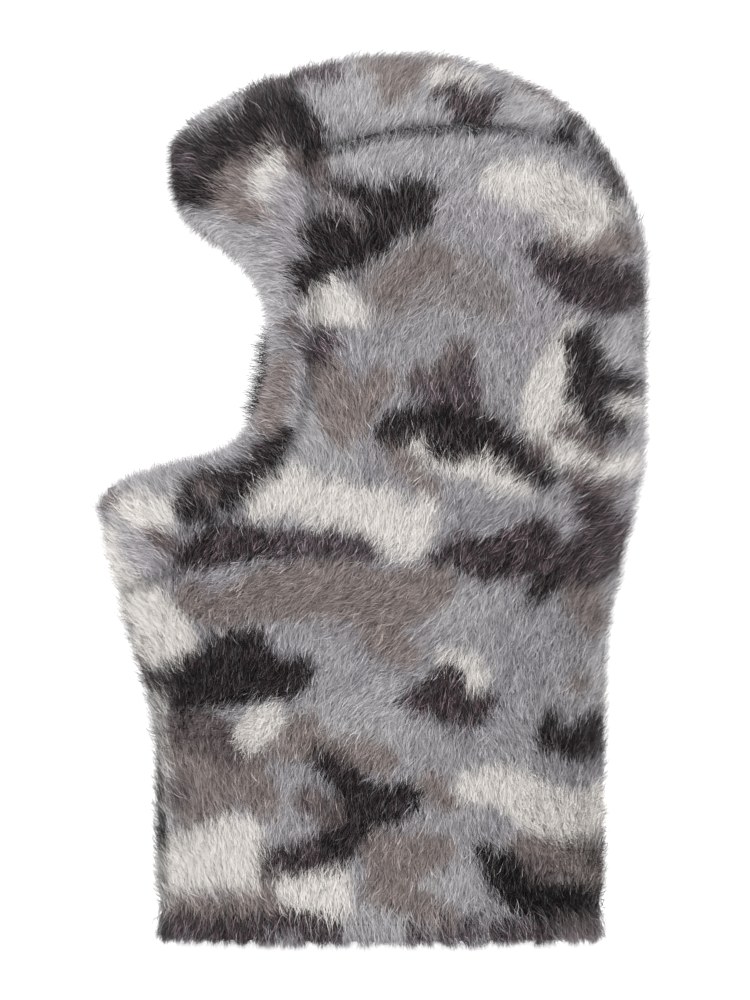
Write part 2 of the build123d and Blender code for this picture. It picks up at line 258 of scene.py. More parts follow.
# ---- Lie of the pile in the side view: place (y, z), then the way the tips point
NAP = [
    (-95, 40, 0, 1), (-60, 40, 0.1, 1), (-95, 80, 0.1, 1), (-70, 80, 0, 1), (-90, 112, 0.9, 0.4),
    (-68, 112, 0.8, 0.5), (-45, 112, 0.6, 0.8), (-10, 115, 0.7, 0.7), (-15, 60, 0.3, 1),
    (10, 40, 0.1, 1), (35, 40, 0, 1), (30, 90, 0.2, 1), (20, 160, 0.75, 0.65),
    (-20, 180, 0.8, 0.6), (-50, 190, 0.9, 0.4), (-85, 180, 0.9, 0.3), (-80, 145, 0.1, 1),
    (-50, 150, 0.3, 1), (-90, 206, 0.5, 0.85), (-40, 208, 0.4, 0.9), (60, 170, 0.25, 1),
    (70, 130, -0.15, 1), (95, 150, -0.35, 0.9), (80, 105, -0.5, 0.85), (100, 100, -0.5, 0.85),
    (70, 76, -0.45, 0.9), (92, 66, -0.8, 0.6), (106, 46, -0.9, 0.35), (80, 30, -0.3, 1),
    (100, 16, -0.5, 0.85), (60, 205, 0.5, 0.85), (86, 205, 0.2, 1), (118, 205, 0.8, 0.4),
    (-30, 232, 0.3, 0.9), (10, 222, 0.2, 1), (-24, 288, -0.5, 0.85), (-10, 262, 0, 1),
    (12, 245, 0, 1), (15, 330, 0.65, 0.75), (5, 304, 0.5, 0.85), (45, 288, 0, 1),
    (60, 305, 0.3, 1), (66, 330, -0.2, 1), (90, 280, 0.1, 1), (108, 290, 0, 1),
    (131, 290, 0.9, 0.3), (131, 312, 0.3, 1), (110, 340, 0.5, 0.85), (100, 383, -0.9, 0.4),
    (75, 362, 0, 1), (60, 405, 0.5, 0.85), (92, 405, 0.4, 0.9), (118, 398, 0.6, 0.8),
    (0, 404, 0.6, 0.8), (-10, 389, -0.2, 1), (22, 384, 0.3, 1), (-20, 365, -0.3, 1),
    (-24, 332, -0.3, 1), (-42, 428, -0.3, 1), (-10, 440, 0.1, 1), (20, 446, 0.5, 0.85),
    (45, 431, 0.3, 1), (60, 446, 0.8, 0.6), (82, 440, 0.7, 0.7), (106, 425, 0.7, 0.7),
    (-88, 424, -0.6, 0.8), (-97, 400, -1, 0.2), (-74, 400, -0.8, 0.5), (-70, 374, -1, -0.2),
    (-50, 385, -0.9, 0.3), (-48, 342, -1, 0), (-46, 300, -1, 0.1), (-50, 272, -1, 0.3),
    (-58, 252, -0.8, 0.6), (-82, 235, -0.6, 0.8), (-110, 230, -0.6, 0.8), (-132, 225, -0.8, 0.6),
    (-118, 203, -0.9, 0.4), (-118, 168, -0.3, 1), (-120, 120, -0.3, 1), (-116, 60, -0.2, 1),
]


# ---- Small tools
def unit(vectors):
    """Each row at length 1."""
    return vectors / np.maximum(np.linalg.norm(vectors, axis=-1, keepdims=True), 1e-9)


def ramp(value, low, high):
    """Smooth rise from 0 at low to 1 at high."""
    share = np.clip((value - low) / (high - low), 0.0, 1.0)
    return share * share * (3.0 - 2.0 * share)


def between(value, rise, fall):
    """Smooth rise from 0 to 1 over one range, and back to 0 over another."""
    return ramp(value, *rise) * (1 - ramp(value, *fall))


def bell(distance, width):
    """1 at no distance, falling to almost nothing at twice the width."""
    return np.exp(-((distance / width) ** 2))


def noise(points, scale, seed):
    """Smooth random value from -1 to 1 at each point, with features of about scale mm."""
    lattice = 32
    table = np.random.default_rng(SEED + seed).uniform(-1, 1, (lattice,) * 3)
    place = points / scale
    cell = np.floor(place).astype(int)
    share = place - cell
    share = share * share * (3 - 2 * share)
    total = np.zeros(len(points))
    for corner in itertools.product((0, 1), repeat=3):
        weight = np.prod(np.where(np.array(corner) == 1, share, 1 - share), axis=1)
        i, j, k = ((cell + corner) % lattice).T
        total += weight * table[i, j, k]
    return total


def linear(tone):
    """Linear colour of a tone given on a scale of 255, by the sRGB curve."""
    share = np.array(tone) / 255.0
    return np.where(share > 0.04045, ((share + 0.055) / 1.055) ** 2.4, share / 12.92)


# ---- Form of the hood
def form_point(angle, level, depth=0.0):
    """Points of the form, depth mm inside the fur's tips. Angle 0 is the wearer's left, and
    level is a height up to the dome and a length over it from there."""
    trunk = np.minimum(level, DOME_Z)
    tilt = np.maximum(level - DOME_Z, 0.0) / RISE
    centre = NECK_Y + (HEAD_Y - NECK_Y) * ramp(trunk, *CENTRE_LEVELS)
    chin_out = CHIN_REACH * ramp(trunk, *CHIN_OUT_LEVELS)
    chin = chin_out - CHIN_RETURN * ramp(trunk, *CHIN_BACK_LEVELS)
    front = centre - NECK_FRONT_Y + chin
    back = NECK_BACK_Y + (HEAD_BACK_Y - NECK_BACK_Y) * ramp(trunk, *BACK_LEVELS) - centre
    half = NECK_HALF + (HEAD_HALF - NECK_HALF) * ramp(trunk, *WIDTH_LEVELS)
    reach = np.where(np.sin(angle) > 0, back, front) - depth
    x = (half - depth) * np.cos(tilt) * np.cos(angle)
    y = centre + reach * np.cos(tilt) * np.sin(angle)
    z = trunk + (RISE - depth) * np.sin(tilt)
    return np.stack([x, y, z], axis=-1)


ANGLE_STEP, LEVEL_STEP = 1e-3, 0.4  # to each side of a place, for slopes of the form


def form_steps(angle, level):
    """Short steps over the form at each place, one round it and one up it."""
    around = form_point(angle + ANGLE_STEP, level) - form_point(angle - ANGLE_STEP, level)
    upward = form_point(angle, level + LEVEL_STEP) - form_point(angle, level - LEVEL_STEP)
    return around, upward


def form_normal(angle, level):
    """Unit normals of the form, pointing out."""
    return unit(np.cross(*form_steps(angle, np.minimum(level, POLE - 1.0))))


def smooth_line(points, steps=5):
    """Points along a smooth curve through the given ones."""
    knots = np.array(points, float)
    knots = np.vstack([2 * knots[0] - knots[1], knots, 2 * knots[-1] - knots[-2]])
    share = np.linspace(0, 1, steps, endpoint=False)[:, None]
    line = []
    for a, b, c, d in zip(knots, knots[1:], knots[2:], knots[3:]):
        bend = (2 * a - 5 * b + 4 * c - d) * share**2 + (3 * b - a - 3 * c + d) * share**3
        line.append(b + 0.5 * ((c - a) * share + bend))
    return np.vstack([*line, knots[-2:-1]])


def straight_gap(start, end, y, z):
    """Distance from a straight run, and the share of it passed at its nearest place."""
    run_y, run_z = end[0] - start[0], end[1] - start[1]
    away_y, away_z = y - start[0], z - start[1]
    squared = max(run_y**2 + run_z**2, 1e-6)
    share = np.clip((away_y * run_y + away_z * run_z) / squared, 0, 1)
    return np.hypot(away_y - share * run_y, away_z - share * run_z), share


def signed_gap(line, points):
    """Distance in the side view from a line, positive on the left of its run."""
    y, z = points[:, 1], points[:, 2]
    nearest = np.full(len(points), np.inf)
    signed = np.zeros(len(points))
    for start, end in zip(line, line[1:]):
        gap, _ = straight_gap(start, end, y, z)
        turn = (end[0] - start[0]) * (z - start[1]) - (end[1] - start[1]) * (y - start[0])
        nearer = gap < nearest
        nearest = np.where(nearer, gap, nearest)
        signed = np.where(nearer, np.copysign(gap, turn), signed)
    return signed


LINES = {
    "opening": smooth_line(OPENING_EDGE),
    "band": smooth_line(BAND_SEAM),
    "crown": smooth_line(CROWN_SEAM),
    "front": smooth_line(FRONT_SEAM),
}


def gaps(points):
    """Signed distances of points from each sewn line and the opening, and their height."""
    found = {name: signed_gap(line, points) for name, line in LINES.items()}
    found["height"] = points[:, 2]
    return found


# A panel keeps the places that are on these sides of the lines: 1 is the left of a line's run.
PANELS = {
    "side": {"opening": -1, "band": -1, "crown": -1, "front": -1, "hem": 1},
    "crown": {"opening": -1, "band": -1, "crown": 1},
    "front_neck": {"band": -1, "front": 1, "hem": 1},
    "band": {"opening": -1, "band": 1},
    "hem": {"hem": -1},
    "hem_facing": {},
}
LEFT = (-pi / 2, pi / 2)
RIGHT = (pi / 2, 3 * pi / 2)
FRONT = (-pi, 0.0)
ROUND = (-pi / 2, 3 * pi / 2)


# ---- Sheets of cloth
def sheet_grid(turn, levels, step):
    """Grid of (angle, level) places and its four-sided faces."""
    columns = int(round((turn[1] - turn[0]) * MEAN_RADIUS / step))
    rows = int(round((levels[1] - levels[0]) / step))
    angle = np.linspace(*turn, columns + 1)
    level = np.linspace(*levels, rows + 1)
    places = np.stack(np.meshgrid(angle, level), axis=-1).reshape(-1, 2)
    corner = (np.arange(rows)[:, None] * (columns + 1) + np.arange(columns)).ravel()
    faces = np.stack([corner, corner + 1, corner + columns + 2, corner + columns + 1], axis=1)
    return places, faces.tolist()


def trimmed(places, faces, values):
    """The part of a sheet where values are positive, cut straight across its faces."""
    places = list(places)
    cuts = {}

    def cut(a, b):
        key = (min(a, b), max(a, b))
        if key not in cuts:
            share = values[a] / (values[a] - values[b])
            cuts[key] = len(places)
            places.append(places[a] + share * (places[b] - places[a]))
        return cuts[key]

    kept = []
    for face in faces:
        inside = [values[k] > 0 for k in face]
        if all(inside):
            kept.append(face)
        elif any(inside):
            outline = []
            for k, after in zip(range(len(face)), list(range(1, len(face))) + [0]):
                if inside[k]:
                    outline.append(face[k])
                if inside[k] != inside[after]:
                    outline.append(cut(face[k], face[after]))
            kept.append(outline)
    used = sorted({k for face in kept for k in face})
    fresh = {old: new for new, old in enumerate(used)}
    return np.array(places)[used], [[fresh[k] for k in face] for face in kept]


def cut_sheet(panel, turn, levels, step, setback):
    """Places and faces of one panel's cloth, trimmed along its sewn lines."""
    places, faces = sheet_grid(turn, levels, step)
    for name, side in PANELS[panel].items():
        points = form_point(*places.T)
        if name == "hem":
            values = side * (points[:, 2] - HEM_TOP)
        else:
            values = side * signed_gap(LINES[name], points)
        if name == "opening":
            values = values - setback
        places, faces = trimmed(places, faces, values)
    return places, faces


def add_object(name, data):
    """New object in the scene."""
    piece = bpy.data.objects.new(name, data)
    bpy.context.scene.collection.objects.link(piece)
    return piece


def paint(mesh, colours):
    """Give each point of a mesh its colour, for the fur's material."""
    rgba = np.ones((len(colours), 4), np.float32)
    rgba[:, :3] = colours
    layer = mesh.color_attributes.new("fibre", "FLOAT_COLOR", "POINT")
    layer.data.foreach_set("color", rgba.ravel())


def write_mesh(name, points, faces, body="hood"):
    """New object from points in mm, with doubled points joined. It rides on a body."""
    points, joined = np.unique(np.round(points, 4), axis=0, return_inverse=True)
    joined = joined.ravel()
    outlines = []
    for face in faces:
        ring = [int(joined[k]) for k in face]
        ring = [k for k, before in zip(ring, ring[-1:] + ring[:-1]) if k != before]
        if len(ring) > 2:
            outlines.append(ring)
    mesh = bpy.data.meshes.new(name)
    mesh.from_pydata((points / MM).tolist(), [], outlines)
    mesh.validate()
    mesh.shade_smooth()
    piece = add_object(name, mesh)
    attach(piece, body)
    return piece


def add_thickness(piece, thickness):
    """Second face of the cloth, on its inner side."""
    solid = piece.modifiers.new("thickness", "SOLIDIFY")
    solid.thickness = thickness / MM
    solid.offset = -1.0


def cloth_area(places, faces, depth):
    """Area of a sheet in square metres."""
    points = form_point(*places.T, depth) / MM
    area = 0.0
    for face in faces:
        first = points[face[0]]
        for b, c in zip(face[1:], face[2:]):
            area += np.linalg.norm(np.cross(points[b] - first, points[c] - first)) / 2
    return float(area)


# ---- Materials
def set_inputs(node, values):
    """Values of a node's own inputs, by name."""
    for name, value in values.items():
        node.inputs[name].default_value = value


def new_material(name, roughness):
    """A material with one Principled shader. Returns it, its node tree and the shader."""
    material = bpy.data.materials.new(name)
    material.use_nodes = True
    tree = material.node_tree
    shader = tree.nodes["Principled BSDF"]
    set_inputs(shader, {"Roughness": roughness, "Specular IOR Level": 0.25})
    return material, tree, shader


def noise_node(tree, scale, detail=2.0):
    """Noise in object space. Scale is per metre."""
    place = tree.nodes.new("ShaderNodeTexCoord")
    texture = tree.nodes.new("ShaderNodeTexNoise")
    set_inputs(texture, {"Scale": scale, "Detail": detail})
    tree.links.new(place.outputs["Object"], texture.inputs["Vector"])
    return texture


def fur_material(name):
    """Each fibre's own colour, with fine streaks, under a soft sheen."""
    material, tree, shader = new_material(name, 0.7)
    colour = tree.nodes.new("ShaderNodeVertexColor")
    colour.layer_name = "fibre"
    streaks = noise_node(tree, 900.0)
    spread = tree.nodes.new("ShaderNodeMapRange")
    set_inputs(spread, {"From Min": 0.3, "From Max": 0.7, "To Min": 0.9, "To Max": 1.1})
    shade = tree.nodes.new("ShaderNodeVectorMath")
    shade.operation = "SCALE"
    tree.links.new(streaks.outputs["Fac"], spread.inputs["Value"])
    tree.links.new(colour.outputs["Color"], shade.inputs[0])
    tree.links.new(spread.outputs["Result"], shade.inputs["Scale"])
    tree.links.new(shade.outputs["Vector"], shader.inputs["Base Color"])
    set_inputs(shader, {"Specular IOR Level": 0.1, "Sheen Weight": 0.1, "Sheen Roughness": 0.5})
    return material


def cloth_material(name, dark, bright, grain, bump):
    """Cloth with a fine two-tone grain and a raised surface. Grain is per metre."""
    material, tree, shader = new_material(name, 0.85)
    fine = noise_node(tree, grain, 4.0)
    tones = tree.nodes.new("ShaderNodeValToRGB")
    stops = zip(tones.color_ramp.elements, (0.35, 0.68), (dark, bright))
    for stop, position, tone in stops:
        stop.position = position
        stop.color = (*linear(tone), 1)
    raised = tree.nodes.new("ShaderNodeBump")
    set_inputs(raised, {"Strength": bump, "Distance": 0.0006})
    tree.links.new(fine.outputs["Fac"], tones.inputs["Fac"])
    tree.links.new(tones.outputs["Color"], shader.inputs["Base Color"])
    tree.links.new(fine.outputs["Fac"], raised.inputs["Height"])
    tree.links.new(raised.outputs["Normal"], shader.inputs["Normal"])
    set_inputs(shader, {"Sheen Weight": 0.3})
    return material


FUR = fur_material("fur")
LINING = cloth_material("lining", (72, 68, 70), (102, 97, 99), 1400.0, 0.5)
FACING = cloth_material("facing", (58, 54, 56), (92, 87, 89), 900.0, 0.9)
THREAD = cloth_material("thread", (38, 35, 36), (60, 57, 58), 2500.0, 0.4)
LABEL = cloth_material("label", (196, 193, 186), (222, 219, 212), 2600.0, 0.3)


# ---- Print
def dabs_gap(stroke, y, z):
    """Distance from a stroke's outline, negative inside."""
    nearest = np.full(y.shape, np.inf)
    for start, end in list(zip(stroke, stroke[1:])) or [(stroke[0], stroke[0])]:
        gap, share = straight_gap(start, end, y, z)
        nearest = np.minimum(nearest, gap - start[2] - share * (end[2] - start[2]))
    return nearest


def painted_print(points, ragged):
    """Colours of the left side's print, with each outline moved in by ragged mm."""
    y, z = points[:, 1], points[:, 2]
    colour = np.tile(linear(TONES["grey"]), (len(points), 1))
    cloud = ramp(noise(points, CLOUD_SIZE, 1), -0.5, 0.6)[:, None]
    colour = colour + (linear(TONES["light"]) - colour) * cloud * CLOUD
    warp_y = y + WARP * noise(points, WARP_SIZE, 2)
    warp_z = z + WARP * noise(points, WARP_SIZE, 3)
    for tone, *strokes in PRINT:
        for stroke in strokes:
            near = dabs_gap(stroke, warp_y, warp_z) + ragged - BLEED
            cover = ramp(-near, -FEATHER / 2, FEATHER / 2)[:, None]
            colour = colour + (linear(TONES[tone]) - colour) * cover
    return colour


def running_print(points, ragged):
    """Print of the same kind for the sides that the left one doesn't show."""
    warp = np.stack([noise(points, LAYER_WARP_SIZE, k) for k in (11, 12, 13)], axis=1)
    place = points + warp * LAYER_WARP
    colour = np.tile(linear(TONES["grey"]), (len(points), 1))
    for tone, scale, edge, seed in LAYERS:
        height = noise(place, scale, seed) * scale - edge * scale + ragged
        cover = ramp(height, -FEATHER, FEATHER)[:, None]
        colour = colour + (linear(TONES[tone]) - colour) * cover
    # The far cheek's edge is dark.
    cheek = between(points[:, 2], (258, 268), (316, 326))
    cheek = (cheek * (1 - ramp(points[:, 1], -48, -38)))[:, None]
    return colour + (linear(TONES["charcoal"]) - colour) * cheek


def print_colour(points, normals, ragged):
    """Colour at points on the fur. The painted print fades as they turn from the left."""
    facing_left = ramp(normals[:, 0] + 0.04 * noise(points, 20.0, 31), 0.02, 0.14)
    colour = running_print(points, ragged)
    seen = facing_left > 0
    share = facing_left[seen][:, None]
    colour[seen] += (painted_print(points[seen], ragged[seen]) - colour[seen]) * share
    return colour


# ---- Pile
DENSITY = 2.6  # fibres per square mm
HEM_DENSITY, RIM_DENSITY = 1.8, 6.0  # how much denser the pile is on the turned edges
LOCK = 2.2  # width in mm of the locks that fibres gather into
LOCK_WANDER, LOCK_WANDER_SIZE = 3.6, 4.3  # how far and how finely the locks' edges wander
LOCK_KEY = 1009  # sets the numbers of neighbouring locks apart
LOCK_TURN, FIBRE_TURN = 0.2, 0.26  # spread in radians of the ways they point
GATHER = (0.1, 0.5)  # share of the way to its lock's middle that a tip leans
LENGTHS, HEIGHTS = (0.75, 1.2), (0.78, 1.2)  # ranges about the panel's own
LOCK_HEIGHT = 0.08  # spread of the locks' heights
FLAT_REACH, HANG_REACH, FOLD_REACH = 9.0, (1.0, 13.0), 5.0  # how far in mm fibres reach
CURL = 240.0  # the larger, the less a fibre's tip curls back to the cloth
TIP_DEPTH = 1.0  # how far the laid pile's tips end inside the form
RINGS = np.array([0.0, 0.5, 1.0])  # places along a fibre
HALF_WIDTHS = np.array([0.14, 0.13])  # at the root and the middle, before the tip
RING_PAINTED_LIGHT = np.array([0.66, 0.66, 0.94, 0.94, 1.08])  # painted shade and sheen of each point: darkest at the root, where shade falls among the fibres, lighter at the tip
FIBRE = np.array([1, 0, 2, 3, 3, 2, 4])  # corners of one quad and the tip, facing out
FIBRE_FACES = np.array([0, 4])
FIBRE_POINTS = 5
LOWEST_FIBRE = -1.5  # level in mm of the hem's longest hairs
FRINGE, FRINGE_SIZE = 5.5, 1.7  # how unevenly and how finely the others end above them
BACKWARD, HANG_TURN = 0.15, 0.12  # how far hanging hair leans back, and its spread
LONGEST = 1.12  # length of the longer hairs as a share of the panel's own
BOW = 0.55  # how far in mm the middle of a fibre bends to a side
STRAYS, STRAY_LIFT = 0.18, (0.8, 6.2)  # share of fibres that stand out, and how far in mm
RAISED, RAISED_LIFT = 0.13, (0.5, 3.0)  # the same for whole locks
FROSTED, FROST = 0.18, (0.03, 0.13)  # share of the dark fibres that are paler, and by how much
STRAY_TONES = 0.2  # share of fibres that take their tone from further off
TONE_DRIFT, STRAY_DRIFT = 0.9, 3.6  # how far off in mm
TONE_PLACE = (0.05, 1.25)  # where along a fibre its tone is read from the print
ROUNDNESS = 0.78  # share of the cloth's own normal in a fibre's
SEAM_WIDTH, SEAM_DIP, FRONT_DIP = 3.5, 2.4, 1.2  # folds at the seams, in mm
SEAM_SHADE, DARKEST_SHADE = 0.5, 0.88  # how much they are darkened
NAP_BLUR, NAP_FALL = 60.0, -1.6  # how the directions of the pile run into each other


def lie(points, normals):
    """Unit direction along the cloth in which the pile lies."""
    y, z = points[:, 1], points[:, 2]
    total = np.zeros((len(points), 3))
    for guide_y, guide_z, way_y, way_z in NAP:
        weight = ((y - guide_y) ** 2 + (z - guide_z) ** 2 + NAP_BLUR) ** NAP_FALL
        total[:, 1] += weight * way_y
        total[:, 2] += weight * way_z
    total = unit(total)
    swirl = 0.32 * noise(points, 17.0, 41) + 0.22 * noise(points, 6.0, 42)
    along = unit(total - (total * normals).sum(1, keepdims=True) * normals)
    return turned(along, normals, swirl)


def turned(vectors, axes, turn):
    """Vectors turned about unit axes that they are square to."""
    across = np.cross(axes, vectors)
    return vectors * np.cos(turn)[:, None] + across * np.sin(turn)[:, None]


def fold_run(points):
    """1 where the crown's seam makes a deep fold, which fades out towards both its ends."""
    return between(points[:, 1], (-50, -10), (60, 105))


def seam_dip(gap, run, panel):
    """How far the pile's tips lie below the form where it is sewn, in mm."""
    dip = SEAM_DIP * bell(gap["band"], SEAM_WIDTH)
    if panel == "side":
        dip += SEAM_DIP * bell(gap["crown"] + 1.0, SEAM_WIDTH) * (0.3 + 0.7 * run)
    if panel != "band":
        dip += FRONT_DIP * bell(gap["front"], 2.5)
    return dip


def seam_shade(gap, run, panel):
    """How much the pile is darkened in the seams' folds. The front's fades at the chin."""
    shade = SEAM_SHADE * bell(gap["band"] + 1.0, SEAM_WIDTH)
    if panel == "side":
        shade += DARKEST_SHADE * (1 - ramp(-gap["crown"], -1.0, 5.0)) * (0.25 + 0.75 * run)
    if panel != "band":
        front = SEAM_SHADE * bell(gap["front"] - 3.5, 2.0)
        shade += front * (1 - ramp(gap["height"], 100, 135))
    return np.clip(shade, 0.0, DARKEST_SHADE)


def scatter(rng, turn, levels, density):
    """Random places on the form, evenly spread over its area."""
    cells = 120
    cells_angle = np.linspace(*turn, cells + 1)
    cells_level = np.linspace(*levels, cells + 1)
    angle, level = np.meshgrid(cells_angle, cells_level)
    points = form_point(angle, level)
    one = points[1:, 1:] - points[:-1, :-1]
    other = points[1:, :-1] - points[:-1, 1:]
    area = np.linalg.norm(np.cross(one, other), axis=-1) / 2
    count = rng.poisson(area * density)
    row, column = np.nonzero(count)
    times = count[row, column]
    row, column = np.repeat(row, times), np.repeat(column, times)
    angle = cells_angle[column] + rng.random(len(column)) * (cells_angle[1] - cells_angle[0])
    level = cells_level[row] + rng.random(len(row)) * (cells_level[1] - cells_level[0])
    return angle, level


def grow(name, places, roots, normals, along, tall, rng, reach, shade=0.0):
    """A piece of pile: one tapered fibre from each root, bent over to lie along the cloth.
    Tall is how far above its root each tip ends, and shade how much the tone is darkened."""
    count = len(roots)
    wander = np.stack([noise(roots, LOCK_WANDER_SIZE, k) for k in (51, 52, 53)], axis=1)
    cell = np.floor((roots + LOCK_WANDER * wander) / LOCK).astype(np.int64)
    key = (cell[:, 0] * LOCK_KEY + cell[:, 1]) * LOCK_KEY + cell[:, 2]
    _, lock = np.unique(key, return_inverse=True)
    lock = lock.ravel()
    size = np.bincount(lock)
    centre = np.stack([np.bincount(lock, roots[:, k]) / size for k in range(3)], axis=1)
    locks = len(size)
    lock_turn = rng.normal(0, LOCK_TURN, locks)[lock]
    lock_tall = rng.normal(1.0, LOCK_HEIGHT, locks)[lock]
    along = turned(along, normals, lock_turn + rng.normal(0, FIBRE_TURN, count))
    length = reach * rng.uniform(*LENGTHS, count)
    lift = tall * lock_tall * rng.uniform(*HEIGHTS, count)
    stray = rng.random(count) < STRAYS
    lift = np.where(stray, lift + rng.uniform(*STRAY_LIFT, count), lift)
    raised_lock = rng.random(locks) < RAISED
    lift = lift + np.where(raised_lock, rng.uniform(*RAISED_LIFT, locks), 0.0)[lock]
    pull = (centre[lock] - roots) * rng.uniform(*GATHER, count)[:, None]
    # A fibre rises steeply from its root and then lies over.
    rings = []
    for share in RINGS:
        bent = along * (length * share**1.35)[:, None]
        raised = normals * (lift * (1 - (1 - share) ** 1.8))[:, None]
        curl = normals * (length**2 * share**2 / CURL)[:, None]
        rings.append(roots + bent + raised - curl + pull * share)
    rings = np.stack(rings, axis=1)
    rings[:, :, 2] = np.maximum(rings[:, :, 2], LOWEST_FIBRE)
    side = turned(unit(np.cross(normals, along)), along, rng.uniform(-0.5, 0.5, count))
    rings[:, 1] += side * rng.normal(0, BOW, count)[:, None]
    points = np.empty((count, FIBRE_POINTS, 3))
    for ring, half in enumerate(HALF_WIDTHS):
        points[:, 2 * ring] = rings[:, ring] - side * half
        points[:, 2 * ring + 1] = rings[:, ring] + side * half
    points[:, -1] = rings[:, -1]
    drift = np.where(rng.random(count) < STRAY_TONES, STRAY_DRIFT, TONE_DRIFT)[:, None]
    lock_place = rng.uniform(*TONE_PLACE, locks)[lock]
    seen = (lock_place + rng.uniform(*TONE_PLACE, count))[:, None] / 2
    seen_at = roots + (rings[:, -1] - roots) * seen + rng.normal(0, 1, (count, 3)) * drift
    colour = print_colour(seen_at, normals, rng.normal(0, 1.0, count))
    bright = colour.mean(axis=1)
    dark, pale = 1 - ramp(bright, 0.0, 0.2), ramp(bright, 0.3, 0.65)
    # Fibres differ most where the print is dark and least where it is pale.
    spread = 0.34 + 0.90 * dark - 0.28 * pale
    lock_spread = 0.16 + 0.55 * dark - 0.13 * pale
    tint = rng.normal(0, 1, count) * spread + rng.normal(0, 1, locks)[lock] * lock_spread
    tint = np.clip(np.exp(tint - 0.4 * spread**2), 0.3, 9.0) * (1.0 - shade)
    # Painted shade at each fibre's root and a painted sheen at its tip, which pale fibres take less
    # of.
    painted_light = RING_PAINTED_LIGHT + pale[:, None] * (1.0 - RING_PAINTED_LIGHT)
    frosted = dark * (rng.random(count) < FROSTED) * rng.uniform(*FROST, count) * (1.0 - shade)
    colour = colour * tint[:, None] + frosted[:, None]
    colours = colour[:, None] * painted_light[:, :, None]
    across = np.cross(side, along)
    across *= np.sign((across * normals).sum(1, keepdims=True))
    rounded = ROUNDNESS + 0.16 * pale[:, None]
    facing = unit(rounded * normals + (1 - rounded) * across)
    flat = places_uv(places, roots, points)
    return write_fibres(name, points, colours, facing, flat)


def places_uv(places, roots, points):
    """Place of every fibre corner on the laid-out cloth, from 0 to 1 both ways."""
    around, upward = form_steps(*places)
    away = points - roots[:, None]
    flat = []
    for place, step, shortest, spacing in (
        (places[0], around, 2e-3, 2 * ANGLE_STEP),
        (places[1], upward, 1e-3, 2 * LEVEL_STEP),
    ):
        pace = np.maximum(np.linalg.norm(step, axis=1), shortest)[:, None]
        flat.append(place[:, None] + np.einsum("nkc,nc->nk", away, step / pace**2) * spacing)
    flat = np.stack(flat, axis=-1)
    low, high = flat.min((0, 1)), flat.max((0, 1))
    return (flat - low) / (high - low)


def write_fibres(name, points, colours, facing, flat):
    """One object of all the fibres, with their colours, normals and places on the cloth."""
    count = len(points)
    corners = (np.arange(count)[:, None] * FIBRE_POINTS + FIBRE).ravel().astype(np.int32)
    starts = (np.arange(count)[:, None] * len(FIBRE) + FIBRE_FACES).ravel().astype(np.int32)
    mesh = bpy.data.meshes.new(name)
    mesh.vertices.add(count * FIBRE_POINTS)
    mesh.vertices.foreach_set("co", (points / MM).astype(np.float32).ravel())
    mesh.loops.add(len(corners))
    mesh.loops.foreach_set("vertex_index", corners)
    mesh.polygons.add(len(starts))
    mesh.polygons.foreach_set("loop_start", starts)
    mesh.update(calc_edges=True)
    mesh.shade_smooth()
    mesh.normals_split_custom_set_from_vertices(np.repeat(facing, FIBRE_POINTS, axis=0))
    paint(mesh, np.clip(colours, 0, 1).reshape(-1, 3))
    spread = mesh.uv_layers.new(name="OFBake")
    spread.data.foreach_set("uv", flat.reshape(-1, 2)[corners].astype(np.float32).ravel())
    mesh.materials.append(FUR)
    piece = add_object(name, mesh)
    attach(piece, "hood")
    return piece


def panel_pile(name, panel, turn, levels, seed):
    """The pile of one panel between two levels."""
    rng = np.random.default_rng(SEED + seed)
    angle, level = scatter(rng, turn, levels, DENSITY * (HEM_DENSITY if panel == "hem" else 1.0))
    points = form_point(angle, level)
    gap = gaps(points)
    gap["hem"] = points[:, 2] - HEM_TOP
    gap["opening"] = gap["opening"] + EDGE_SETBACK
    keep = np.ones(len(points), bool)
    for line, side in PANELS[panel].items():
        keep &= side * gap[line] > 0
    if panel == "hem":
        keep &= points[:, 2] > HEM_FOLD_Z
    angle, level, points = angle[keep], level[keep], points[keep]
    gap = {line: values[keep] for line, values in gap.items()}
    normals = form_normal(angle, level)
    along = lie(points, normals)
    height = points[:, 2]
    # Hair near the hem hangs down, and so does the crown's where it falls over its seam.
    down = np.array([0.0, BACKWARD, -1.0]) - (BACKWARD * normals[:, 1:2] - normals[:, 2:]) * normals
    down = turned(unit(down), normals, rng.normal(0, HANG_TURN, len(points)))
    hangs = rng.random(len(points)) < 1 - ramp(height, HEM_TOP - 3.0, HEM_TOP + 17.0)
    falls = np.zeros(len(points), bool)
    if panel == "crown":
        falls = rng.random(len(points)) < 1 - ramp(gap["crown"], 0.5, 5.0)
    along = np.where((hangs | falls)[:, None], down, along)
    upright = points * np.array([1.0, 1.0, 0.05])
    fringe = np.clip(0.45 + 0.9 * noise(upright, FRINGE_SIZE, 71), 0.0, 1.0)
    drop = (height - LOWEST_FIBRE - FRINGE * fringe) / LONGEST
    reach = np.where(hangs, np.clip(drop, *HANG_REACH), np.where(falls, FOLD_REACH, FLAT_REACH))
    if panel == "side":
        reach = np.minimum(reach, np.maximum(3.0 - gap["crown"], FOLD_REACH))
    # Folds are judged by where a fibre's tip lies. The pile is flatter towards the hem.
    tip_gap = gaps(points + along * (0.8 * reach)[:, None])
    run = fold_run(points)
    tall = SKIN_DEPTH - TIP_DEPTH - seam_dip(tip_gap, run, panel)
    tall = tall * (0.5 + 0.5 * ramp(height, 2.0, 30.0))
    roots = points - normals * SKIN_DEPTH
    return grow(name, (angle, level), roots, normals, along, tall, rng, reach,
                seam_shade(tip_gap, run, panel))


